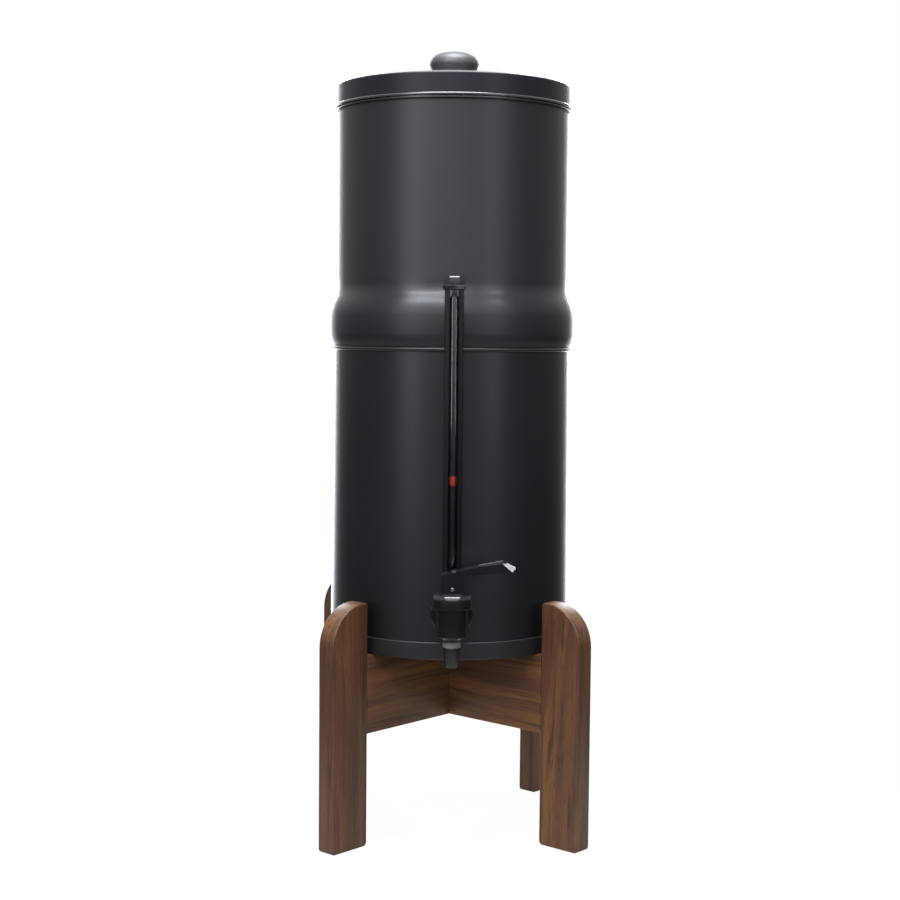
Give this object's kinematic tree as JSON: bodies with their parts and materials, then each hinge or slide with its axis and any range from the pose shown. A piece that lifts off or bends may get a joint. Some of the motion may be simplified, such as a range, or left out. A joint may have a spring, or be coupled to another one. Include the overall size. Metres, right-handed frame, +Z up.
{
  "type": "gravity water filter",
  "caption": "Two-tier gravity water filter: black steel vessels with lid, lever tap and sight gauge, standing on a crossed wooden stand.",
  "frame": {"origin": "on the floor, under the common axis of the two vessels", "axes": "+Z up along the vessels' axis; the tap and the sight gauge face -Y; +X is to the right of someone who faces the tap"},
  "size_m": [0.2674, 0.3131, 0.7716],
  "materials": {
    "walnut": "satin oil",
    "dowel_wood": "plain",
    "black_coat": "satin powder coat",
    "black_ring": "satin",
    "knob_plastic": "gloss",
    "black_plastic": "gloss",
    "polished_steel": "polished",
    "bare_steel": "brushed",
    "rubber": "matte",
    "clear_tube": "clear",
    "red_float": "gloss",
    "ceramic": "fine unglazed ceramic",
    "candle_plastic": "matte"
  },
  "bodies": {
    "stand": {"leg_front_left": "walnut", "leg_front_right": "walnut", "leg_back_left": "walnut", "leg_back_right": "walnut", "beam_over": "walnut", "beam_under": "walnut", "stand_dowels": "dowel_wood"},
    "lower_tank": {"lower_vessel": "black_coat", "base_ring": "black_ring", "tap_body": "black_plastic", "tap_bonnet": "black_plastic", "tap_bonnet_seal": "rubber", "tap_washer_outer": "rubber", "tap_washer_inner": "rubber", "tap_lock_nut": "black_plastic", "tap_spring": "bare_steel", "gauge_housing": "black_plastic", "gauge_glass": "clear_tube", "gauge_glass_seal": "rubber", "gauge_front_seal": "rubber", "gauge_cap": "black_plastic"},
    "upper_tank": {"upper_vessel": "black_coat", "candle_left_base": "candle_plastic", "candle_left_ceramic": "ceramic", "candle_left_washers": "rubber", "candle_left_wing_nut": "candle_plastic", "candle_right_base": "candle_plastic", "candle_right_ceramic": "ceramic", "candle_right_washers": "rubber", "candle_right_wing_nut": "candle_plastic"},
    "lid_group": {"lid": "black_coat", "lid_locating_ring": "bare_steel", "lid_knob": "knob_plastic", "knob_spacer": "polished_steel", "knob_screw": "bare_steel"},
    "stem": {"tap_stem": "bare_steel", "tap_seat_cup": "rubber", "tap_lever_pin": "polished_steel"},
    "lever": {"tap_lever": "black_plastic"},
    "float": {"gauge_float": "red_float"}
  },
  "joints": [
    {"name": "lower_tank_lift", "type": "slide", "parent": "stand", "child": "lower_tank", "axis": [0, 0, 1], "range_m": [0, 0.25]},
    {"name": "upper_tank_lift", "type": "slide", "parent": "lower_tank", "child": "upper_tank", "axis": [0, 0, 1], "range_m": [0, 0.25]},
    {"name": "lid_lift", "type": "slide", "parent": "upper_tank", "child": "lid_group", "axis": [0, 0, 1], "range_m": [0, 0.15]},
    {"name": "stem_rise", "type": "slide", "parent": "lower_tank", "child": "stem", "axis": [0, 0, 1], "range_m": [0, 0.0042], "deforming": ["tap_spring"]},
    {"name": "lever_tip", "type": "hinge", "parent": "stem", "child": "lever", "pos_m": [0, -0.161, 0.26], "axis": [0, 1, 0], "range_deg": [0, 25], "stiffness_Nm_per_rad": 0.3, "springref_deg": -11.46},
    {"name": "float_rise", "type": "slide", "parent": "lower_tank", "child": "float", "axis": [0, 0, 1], "range_m": [-0.0915, 0.1665]}
  ],
  "couplings": [
    {"joint": "stem_rise", "follows": "lever_tip", "m_per_rad": 0.0096}
  ]
}
